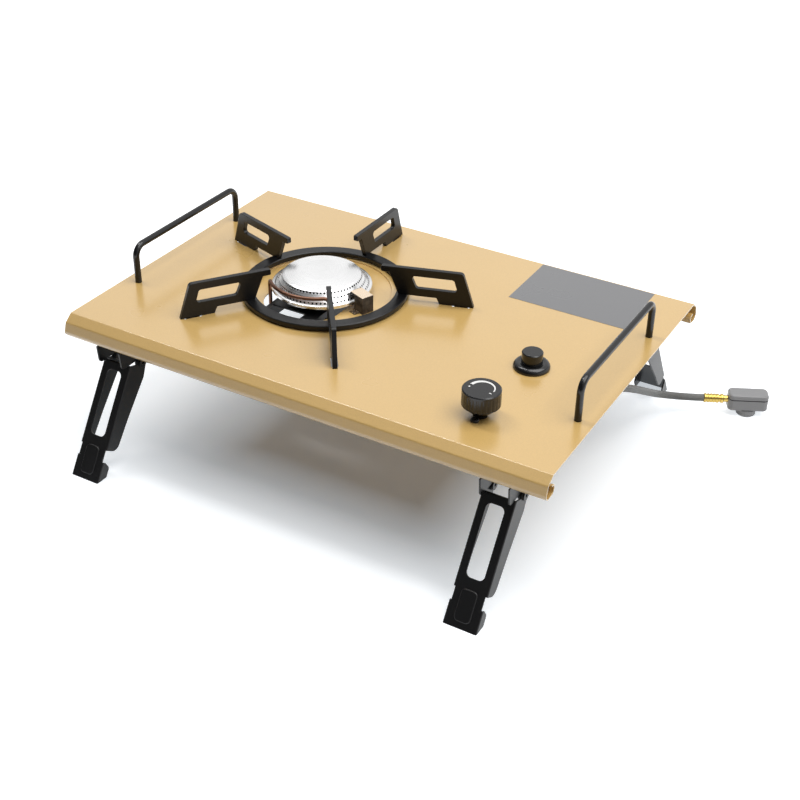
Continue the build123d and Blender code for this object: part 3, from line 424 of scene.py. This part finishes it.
def metal_finish(
    name, colour, rough, axis=(0.0, 0.0, 0.0), lines=1400.0, dents=0.00006, stained=0.2, inside=None
):
    """Bare or plated metal: fine turned lines, faint dents, staining and, where a mask is given, a painted
    dark colour: painted shade inside the burner and under the knob, a painted dark reflection on the shield's
    walls.
    """
    material, sheet, shader = blank(name, Metallic=1.0)
    place = sheet.place()
    line = sheet.group("turned", Place=place, Axis=axis, Scale=lines)["Line"]
    tone = sheet.group("tone", Place=place, Colour=colour, Scale=38.0, Amount=0.16)["Colour"]
    cloud = sheet.noise(place, scale=55.0, detail=4.0, rough=0.6)
    marked = sheet.span(cloud, STAIN_CLOUD, (0.0, stained))
    final = sheet.mix(marked, tone, tuple(channel * STAIN_SHADE for channel in colour))
    fine = sheet.span(line, LINE_CLOUD, (rough - LINE_DULL, rough + LINE_ROUGH))
    rough_final = sheet.math("ADD", fine, sheet.math("MULTIPLY", marked, STAIN_ROUGH), clamp=True)
    # Painted shade and painted dark reflection: masked faces turn towards the painted dark colour
    if inside:
        painted_shade_and_reflection_mask = inside(sheet, place)
        final = sheet.mix(painted_shade_and_reflection_mask, final, tuple(bpy.context.scene.stove_colours.painted_shade_and_reflection))
        rough_final = sheet.math("ADD", rough_final, sheet.math("MULTIPLY", painted_shade_and_reflection_mask, PAINTED_SHADE_AND_REFLECTION_ROUGH), clamp=True)
    sheet.feed(shader["Base Color"], final)
    sheet.feed(shader["Roughness"], rough_final)
    wave = sheet.math("MULTIPLY", sheet.noise(place, scale=120.0), DENT_SHARE)
    height = sheet.math("ADD", wave, sheet.math("MULTIPLY", line, 1.0 - DENT_SHARE))
    bump(sheet, shader, height, dents, METAL_EDGE)
    return material


def moulded_finish(name, colour, rough, grain, depth, **constants):
    """Moulded plastic, glaze or rubber: fine surface grain, faint flow marks and soft edges."""
    material, sheet, shader = blank(name, **constants)
    place = sheet.place()
    skin = sheet.group("skin", Place=place, Peel=grain, Grain=grain * MOULD_GRAIN)
    tone = sheet.group("tone", Place=place, Colour=colour, Scale=60.0, Amount=0.14)
    sheet.feed(shader["Base Color"], tone["Colour"])
    flow = sheet.noise(place, scale=90.0, detail=3.0, rough=0.6)
    sheet.feed(shader["Roughness"], sheet.span(flow, FULL, (rough - ROUGH_DRIFT, rough + ROUGH_DRIFT)))
    bump(sheet, shader, skin["Height"], depth, MOULD_EDGE)
    return material


def shell_inside(axis, reach, faces):
    """A mask for the inner walls of a round shell, faces turned up or down near to its axis, where painted
    shade darkens the burner's hollows and ports.
    """

    def mask(sheet, place):
        upright = sheet.parts(sheet.node("ShaderNodeNewGeometry").outputs["True Normal"])[2]
        turned = sheet.span(sheet.math("MULTIPLY", upright, faces), FACING_TURN, FULL)
        near = sheet.math("LESS_THAN", sheet.radius(place, axis), reach)
        return sheet.math("MULTIPLY", turned, near)

    return mask


def walls_with_painted_dark_reflection(sheet, place):
    """A mask for faces that stand upright, in uneven patches, where a painted dark reflection darkens the
    shield's walls.
    """
    upright = sheet.parts(sheet.node("ShaderNodeNewGeometry").outputs["True Normal"])[2]
    wall = sheet.span(upright, WALL_TURN, FULL_DOWN)
    patches = sheet.span(sheet.noise(place, scale=110.0, detail=3.0, rough=0.6), PATCH_CLOUD, PATCH_LEVELS)
    return sheet.math("MULTIPLY", wall, patches)


def painted_shade_under_knob(sheet, place):
    """A mask for what stands over the plate, where painted shade darkens the valve's neck under the knob."""
    return sheet.math("GREATER_THAN", sheet.parts(place)[2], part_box("label_panel")[0].z)


def dress(material, *names):
    """Gives CAD nodes or pieces their finish."""
    for name in names:
        piece = bpy.data.objects[name]
        piece.data.materials.clear()
        piece.data.materials.append(material)


# Modelling


def deselect():
    """Nothing selected and object mode."""
    if bpy.context.object and bpy.context.object.mode != "OBJECT":
        bpy.ops.object.mode_set(mode="OBJECT")
    bpy.ops.object.select_all(action="DESELECT")


def turned_piece(name, profile, place, way):
    """A round piece drawn up ring by ring through (radius, height) points, then laid along a way."""
    deselect()
    radius, height = profile[0]
    bpy.ops.mesh.primitive_circle_add(
        vertices=FERRULE_SIDES, radius=radius, fill_type="NGON", location=(0, 0, height)
    )
    piece = bpy.context.object
    piece.name = name
    bpy.ops.object.transform_apply(location=True, rotation=False, scale=False)
    bpy.ops.object.mode_set(mode="EDIT")
    bpy.ops.mesh.select_all(action="SELECT")
    for (radius, height), (next_radius, next_height) in zip(profile, profile[1:]):
        bpy.ops.mesh.extrude_region_move(TRANSFORM_OT_translate={"value": (0, 0, next_height - height)})
        share = next_radius / radius
        bpy.ops.transform.resize(value=(share, share, 1.0), center_override=(0, 0, next_height))
    bpy.ops.mesh.select_all(action="SELECT")
    bpy.ops.mesh.normals_make_consistent(inside=False)
    bpy.ops.object.mode_set(mode="OBJECT")
    piece.matrix_world = Matrix.Translation(place) @ way.to_track_quat("Z", "Y").to_matrix().to_4x4()
    bpy.ops.object.transform_apply(location=True, rotation=True, scale=True)
    bpy.ops.object.shade_smooth_by_angle(angle=math.radians(SMOOTH_ANGLE))
    return piece


# Operators


class STOVE_OT_stage(bpy.types.Operator):
    """Pale floor, soft lamps, white surroundings and the camera"""

    bl_idname = "stove.stage"
    bl_label = "Studio"

    def execute(self, context):
        studio = context.scene.stove_studio
        deselect()
        bpy.ops.mesh.primitive_circle_add(vertices=FLOOR_SIDES, radius=FLOOR_RADIUS, fill_type="NGON")
        floor = context.object
        floor.name = "studio_floor"
        floor.data.materials.append(self.floor_finish(studio))
        self.surround(context, studio)
        self.lamp("lamp_above", Vector(LAMP_ABOVE_PLACE), LAMP_ABOVE_SIZE, studio.lamp)
        self.lamp("lamp_edge", Vector(LAMP_EDGE_PLACE), LAMP_EDGE_SIZE, studio.edge)
        self.camera(context, Vector(CAMERA_PLACE), Vector(CAMERA_TARGET), studio.lens)
        context.scene.view_settings.view_transform = "Standard"
        return {"FINISHED"}

    @staticmethod
    def floor_finish(studio):
        """Matt white with the object's shadow and a painted shadow: its white glow is held low in a core
        under the stove and clears to plain white away from it; clear from below.
        """
        material = bpy.data.materials.new("studio_white")
        material.use_nodes = True
        sheet = Sheet(material.node_tree)
        sheet.tree.nodes.clear()
        pale = sheet.mix(sheet.noise(sheet.place(), FLOOR_GRAIN), *FLOOR_TONES)
        matt = sheet.node("ShaderNodeBsdfDiffuse", {"Color": pale})
        path = sheet.node("ShaderNodeLightPath").outputs
        mirrored = sheet.math("MAXIMUM", path["Is Glossy Ray"], path["Is Transmission Ray"])
        seen = sheet.math("MAXIMUM", path["Is Camera Ray"], mirrored)
        # Painted shadow: the glow seen on the floor is lowered and tinted in a box-shaped core under the
        # stove, clearing to white with distance
        across = sheet.parts(sheet.place())
        past = []
        for distance, half in zip(across[:2], (studio.core_width, studio.core_depth)):
            beyond = sheet.math("SUBTRACT", sheet.math("ABSOLUTE", distance), half)
            past.append(sheet.math("MAXIMUM", beyond, 0.0))
        squares = [sheet.math("MULTIPLY", side, side) for side in past]
        away = sheet.math("SQRT", sheet.math("ADD", *squares))
        dark = sheet.math("EXPONENT", sheet.math("DIVIDE", away, -studio.fade))
        glow = sheet.math("MULTIPLY", seen, sheet.span(dark, FULL, (1.0, studio.painted_shadow_glow)))
        painted_shadow_tint = sheet.mix(dark, WHITE, SHADOW_TINT)
        light = sheet.node("ShaderNodeEmission", {"Color": painted_shadow_tint, "Strength": glow})
        both = sheet.node("ShaderNodeAddShader", {0: matt.outputs[0], 1: light.outputs[0]})
        below = sheet.node("ShaderNodeNewGeometry").outputs["Backfacing"]
        clear_side = sheet.node("ShaderNodeBsdfTransparent")
        sided = sheet.node("ShaderNodeMixShader", {0: below, 1: both.outputs[0], 2: clear_side.outputs[0]})
        sheet.node("ShaderNodeOutputMaterial", {"Surface": sided.outputs[0]})
        return material

    @staticmethod
    def surround(context, studio):
        """Soft light from all round, dimmer from the camera's side, and white where it is seen."""
        world = bpy.data.worlds.new("studio_light")
        context.scene.world = world
        world.use_nodes = True
        sheet = Sheet(world.node_tree)
        sheet.tree.nodes.clear()
        path = sheet.node("ShaderNodeLightPath").outputs
        way = sheet.node("ShaderNodeTexCoord").outputs["Generated"]
        facing = sheet.vector("DOT_PRODUCT", way, DIM_SIDE)["Value"]
        side = sheet.span(facing, DIM_SPAN, (1.0, studio.front))
        mirrored = sheet.math("MAXIMUM", path["Is Glossy Ray"], path["Is Transmission Ray"])
        lit = sheet.math("MULTIPLY", side, sheet.span(mirrored, FULL, (studio.world, 1.0)))
        strength = sheet.span(path["Is Camera Ray"], FULL, (lit, 1.0))
        light = sheet.node("ShaderNodeBackground", {"Color": WHITE, "Strength": strength})
        sheet.node("ShaderNodeOutputWorld", {"Surface": light.outputs[0]})

    @staticmethod
    def lamp(name, place, size, power):
        """One soft lamp with its width and depth, turned to the object."""
        deselect()
        bpy.ops.object.light_add(type="AREA", location=place)
        lamp = bpy.context.object
        lamp.name = name
        lamp.data.shape = "RECTANGLE"
        lamp.data.size, lamp.data.size_y = size
        lamp.data.energy = power
        lamp.rotation_euler = (Vector(LAMP_TARGET) - place).to_track_quat("-Z", "Y").to_euler()

    @staticmethod
    def camera(context, place, target, lens):
        """The photograph's point of view, with its slight roll."""
        deselect()
        bpy.ops.object.camera_add(location=place)
        camera = context.object
        camera.name = "studio_camera"
        aim = (target - place).to_track_quat("-Z", "Y").to_matrix().to_4x4()
        roll = Matrix.Rotation(math.radians(CAMERA_ROLL), 4, "Z")
        camera.matrix_world = Matrix.Translation(place) @ aim @ roll
        camera.data.lens = lens
        camera.data.sensor_width = SENSOR_WIDTH
        camera.data.clip_end = CAMERA_REACH
        context.scene.camera = camera


class STOVE_OT_ferrules(bpy.types.Operator):
    """Brass ferrules crimped on both ends of the hose"""

    bl_idname = "stove.ferrules"
    bl_label = "Ferrules"

    def execute(self, context):
        sizes = context.scene.stove_sizes
        profile = self.profile(sizes.ferrule, sizes.ferrule_length, sizes.crimp)
        route = [Vector(point) for point in HOSE_ROUTE]
        colour = tuple(context.scene.stove_colours.brass)
        brass = metal_finish("ferrule_brass", colour, rough=0.22, stained=0.35)
        for end, before, node in ((0, 1, "hose_ferrule_valve"), (-1, -2, "hose_ferrule_regulator")):
            way = (route[end] - route[before]).normalized()
            piece = turned_piece(f"{node}_crimped", profile, route[end], way)
            dress(brass, piece.name)
            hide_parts(node)
            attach(piece, "stove")
        return {"FINISHED"}

    @staticmethod
    def profile(radius, length, crimp):
        """Radius and height up a ferrule: a rolled lip, pressed grooves, a neck and a collar."""
        low = radius - crimp
        wide = GROOVE_WIDTH_SHARE
        floor = GROOVE_WIDTH_SHARE / 2
        shares = [(low, 0.0), (radius, LIP_SHARE)]
        for middle in GROOVE_SHARES:
            shares += [(radius, middle - wide), (low, middle - floor)]
            shares += [(low, middle + floor), (radius, middle + wide)]
        shares += [(radius, NECK_SHARE - LIP_SHARE), (low - crimp, NECK_SHARE), (low - crimp, COLLAR_SHARE)]
        shares += [(radius, COLLAR_SHARE + LIP_SHARE), (radius, 1.0 - LIP_SHARE), (low, 1.0)]
        return [(across, share * length) for across, share in shares]


class STOVE_OT_hose(bpy.types.Operator):
    """Braided hose from the valve to the regulator"""

    bl_idname = "stove.hose"
    bl_label = "Hose"

    def execute(self, context):
        sizes = context.scene.stove_sizes
        deselect()
        bpy.ops.curve.primitive_nurbs_path_add(radius=0.1)
        hose = context.object
        hose.name = "gas_hose_braided"
        curve = hose.data
        curve.splines.clear()
        spline = curve.splines.new("NURBS")
        spline.points.add(len(HOSE_ROUTE) - 1)
        for point, place in zip(spline.points, HOSE_ROUTE):
            point.co = (*place, 1.0)
        spline.order_u = 3
        spline.use_endpoint_u = True
        spline.resolution_u = 24
        curve.dimensions = "3D"
        curve.bevel_depth = sizes.hose / 2
        curve.bevel_resolution = 8
        curve.use_fill_caps = True
        line = sum(piece.calc_length() for piece in curve.splines)
        curve.materials.append(self.braid(tuple(context.scene.stove_colours.hose), line / sizes.braid))
        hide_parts("gas_hose")
        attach(hose, "stove")
        return {"FINISHED"}

    @staticmethod
    def braid(colour, turns):
        """Grey braid of crossing strands."""
        material, sheet, shader = blank("hose_braid", Specular_IOR_Level=0.4)
        where = sheet.node("ShaderNodeTexCoord").outputs["UV"]
        strand = sheet.group("braid", Map=where, Turns=turns, Strands=BRAID_STRANDS)["Strand"]
        dark = tuple(channel * BRAID_SHADE for channel in colour)
        tone = sheet.group("tone", Place=sheet.place(), Colour=colour, Scale=70.0, Amount=0.2)["Colour"]
        sheet.feed(shader["Base Color"], sheet.mix(strand, dark, tone))
        sheet.feed(shader["Roughness"], sheet.span(strand, FULL, BRAID_ROUGH))
        bump(sheet, shader, strand, BRAID_DEPTH)
        return material


class STOVE_OT_plate(bpy.types.Operator):
    """Sand paint of the plate and the bare panel on it"""

    bl_idname = "stove.plate"
    bl_label = "Plate"

    def execute(self, context):
        colours = context.scene.stove_colours
        gloss = {"Specular_IOR_Level": 0.9, "Coat_Weight": 1.0, "Coat_Roughness": 0.20}
        skin = {"rough": 0.30, "peel": 420.0, "depth": 0.00005, "edge": 0.0005, "worn": 0.3}
        dress(coat_finish("sand_paint", tuple(colours.sand), **skin, **gloss), "top_plate")
        film = {"rough": 0.30, "peel": 1500.0, "depth": 0.00002, "edge": 0.0002, "worn": 0.2}
        dress(coat_finish("panel_film", tuple(colours.panel), **film, **gloss), "label_panel")
        return {"FINISHED"}


class STOVE_OT_black_steel(bpy.types.Operator):
    """Black coat of the handles, pot support, legs, brackets and valve screws"""

    bl_idname = "stove.black_steel"
    bl_label = "Black steel"

    def execute(self, context):
        black = tuple(context.scene.stove_colours.black)
        smooth = {"rough": 0.22, "peel": 700.0, "depth": 0.00003, "Specular_IOR_Level": 0.45}
        dress(coat_finish("handle_coat", black, **smooth), "handle_left", "handle_right")
        thick = {"rough": 0.32, "peel": 520.0, "depth": 0.00006, "edge": 0.0008, "Specular_IOR_Level": 0.36}
        dress(coat_finish("support_enamel", black, **thick), "support_ring", *ARMS)
        fine = {"rough": 0.34, "peel": 800.0, "depth": 0.00006, "Specular_IOR_Level": 0.42}
        powder = coat_finish("leg_powder", black, **fine)
        dress(powder, "leg_rivets", "burner_bracket", "valve_screws")
        for corner in CORNERS:
            dress(powder, f"leg_{corner}", f"leg_bracket_{corner}")
        return {"FINISHED"}


class STOVE_OT_burner(bpy.types.Operator):
    """Bright steel of the burner and the browned loop round it"""

    bl_idname = "stove.burner"
    bl_label = "Burner"

    def execute(self, context):
        colours = context.scene.stove_colours
        steel = tuple(colours.steel)
        low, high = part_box("burner_bowl")
        axis = tuple((low + high) / 2)
        rim = (high.x - low.x) / 2
        pressed = {"axis": axis, "lines": 900.0, "dents": 0.00015, "stained": 0.12}
        # Painted shade on the inner walls of the cap and bowl, so that the ports look dark
        cap_inside = shell_inside(axis, rim, faces=-1.0)
        dress(metal_finish("cap_steel", steel, rough=0.27, inside=cap_inside, **pressed), "burner_cap")
        bowl_inside = shell_inside(axis, BOWL_INSIDE_SHARE * rim, faces=1.0)
        dress(metal_finish("bowl_steel", steel, rough=0.20, inside=bowl_inside, **pressed), "burner_bowl")
        loop = metal_finish("loop_copper", tuple(colours.copper), rough=0.34, lines=700.0, stained=0.7)
        dress(loop, "preheat_tube", "gas_pipe")
        plated = metal_finish("burner_zinc", tuple(colours.zinc), rough=0.22)
        dress(plated, "mixing_tube", "spark_pin")
        # Painted dark reflection on the shield's upright walls
        shield = metal_finish("shield_zinc", tuple(colours.shield), rough=0.26, inside=walls_with_painted_dark_reflection)
        dress(shield, "electrode_shield")
        return {"FINISHED"}


class STOVE_OT_spark(bpy.types.Operator):
    """Glazed insulator and sleeved lead of the spark electrode"""

    bl_idname = "stove.spark"
    bl_label = "Spark electrode"

    def execute(self, context):
        colours = context.scene.stove_colours
        glaze = moulded_finish("glaze", tuple(colours.ceramic), rough=0.16, grain=900.0, depth=0.00003)
        dress(glaze, "spark_electrode")
        sleeve = moulded_finish("lead_sleeve", tuple(colours.lead), rough=0.48, grain=2200.0, depth=0.00012)
        dress(sleeve, "ignition_lead")
        return {"FINISHED"}


class STOVE_OT_controls(bpy.types.Operator):
    """Knob, marks, igniter button and small plated fasteners"""

    bl_idname = "stove.controls"
    bl_label = "Controls"

    def execute(self, context):
        colours = context.scene.stove_colours
        gloss = {"rough": 0.20, "grain": 1300.0, "depth": 0.00003, "Specular_IOR_Level": 0.55}
        plastic = moulded_finish("control_plastic", tuple(colours.plastic), **gloss)
        dress(plastic, "control_knob", "igniter_bezel", "igniter_button", "igniter_body", "igniter_nut")
        print_ink = moulded_finish("mark_print", tuple(colours.mark), rough=0.42, grain=2600.0, depth=0.00002)
        dress(print_ink, "knob_marks")
        plated = metal_finish("fastener_zinc", tuple(colours.zinc), rough=0.28, stained=0.25)
        dress(plated, "handle_nuts", "igniter_spring")
        return {"FINISHED"}


class STOVE_OT_gas_fittings(bpy.types.Operator):
    """Brass of the valve, jet, union, nipple and spigot"""

    bl_idname = "stove.gas_fittings"
    bl_label = "Gas fittings"

    def execute(self, context):
        colour = tuple(context.scene.stove_colours.brass)
        brass = metal_finish("fitting_brass", colour, rough=0.24, stained=0.3)
        dress(brass, "jet_holder", "gas_jet", "pipe_union", "hose_nipple", "regulator_spigot")
        # Painted shade on the valve's neck under the knob
        neck = metal_finish("valve_brass", colour, rough=0.24, stained=0.3, inside=painted_shade_under_knob)
        dress(neck, "valve_body", "valve_stem")
        return {"FINISHED"}


class STOVE_OT_regulator(bpy.types.Operator):
    """Cast grey of the regulator, the painted shade of the groove round it and its rubber seals"""

    bl_idname = "stove.regulator"
    bl_label = "Regulator"

    def execute(self, context):
        colours = context.scene.stove_colours
        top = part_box("regulator_body")[1].z
        # The seam's band of painted shade sits at the top of the body, below the cover
        seam = (top - context.scene.stove_sizes.seam, top + SEAM_OVERLAP)
        grey = tuple(colours.regulator)
        cast = {"rough": 0.42, "peel": 1100.0, "depth": 0.00008, "worn": 0.25}
        dress(coat_finish("regulator_cast", grey, seam=seam, **cast), "regulator_body", "regulator_cover")
        dress(coat_finish("collar_cast", grey, **cast), "canister_collar")
        rubber = moulded_finish("seal_rubber", tuple(colours.rubber), rough=0.55, grain=1500.0, depth=0.00004)
        dress(rubber, "regulator_diaphragm", "port_seal")
        return {"FINISHED"}


STEPS = (
    STOVE_OT_stage,
    STOVE_OT_ferrules,
    STOVE_OT_hose,
    STOVE_OT_plate,
    STOVE_OT_black_steel,
    STOVE_OT_burner,
    STOVE_OT_spark,
    STOVE_OT_controls,
    STOVE_OT_gas_fittings,
    STOVE_OT_regulator,
)
SETTINGS = {"stove_colours": StoveColours, "stove_sizes": StoveSizes, "stove_studio": StoveStudio}


class STOVE_PT_sidebar(bpy.types.Panel):
    """The stove's pieces in the sidebar"""

    bl_idname = "STOVE_PT_sidebar"
    bl_label = "Portable gas stove"
    bl_space_type = "VIEW_3D"
    bl_region_type = "UI"
    bl_category = "Stove"

    def draw(self, context):
        for step in STEPS:
            self.layout.operator(step.bl_idname)
        for name, kind in SETTINGS.items():
            box = self.layout.box()
            for key in kind.__annotations__:
                box.prop(getattr(context.scene, name), key)


CLASSES = (*SETTINGS.values(), *STEPS, STOVE_PT_sidebar)


def register():
    for kind in CLASSES:
        bpy.utils.register_class(kind)
    for name, kind in SETTINGS.items():
        setattr(bpy.types.Scene, name, bpy.props.PointerProperty(type=kind))


def unregister():
    for name in SETTINGS:
        delattr(bpy.types.Scene, name)
    for kind in reversed(CLASSES):
        bpy.utils.unregister_class(kind)


def main():
    register()
    bpy.ops.stove.stage()
    bpy.ops.stove.ferrules()
    bpy.ops.stove.hose()
    bpy.ops.stove.plate()
    bpy.ops.stove.black_steel()
    bpy.ops.stove.burner()
    bpy.ops.stove.spark()
    bpy.ops.stove.controls()
    bpy.ops.stove.gas_fittings()
    bpy.ops.stove.regulator()


if __name__ == "__main__":
    main()
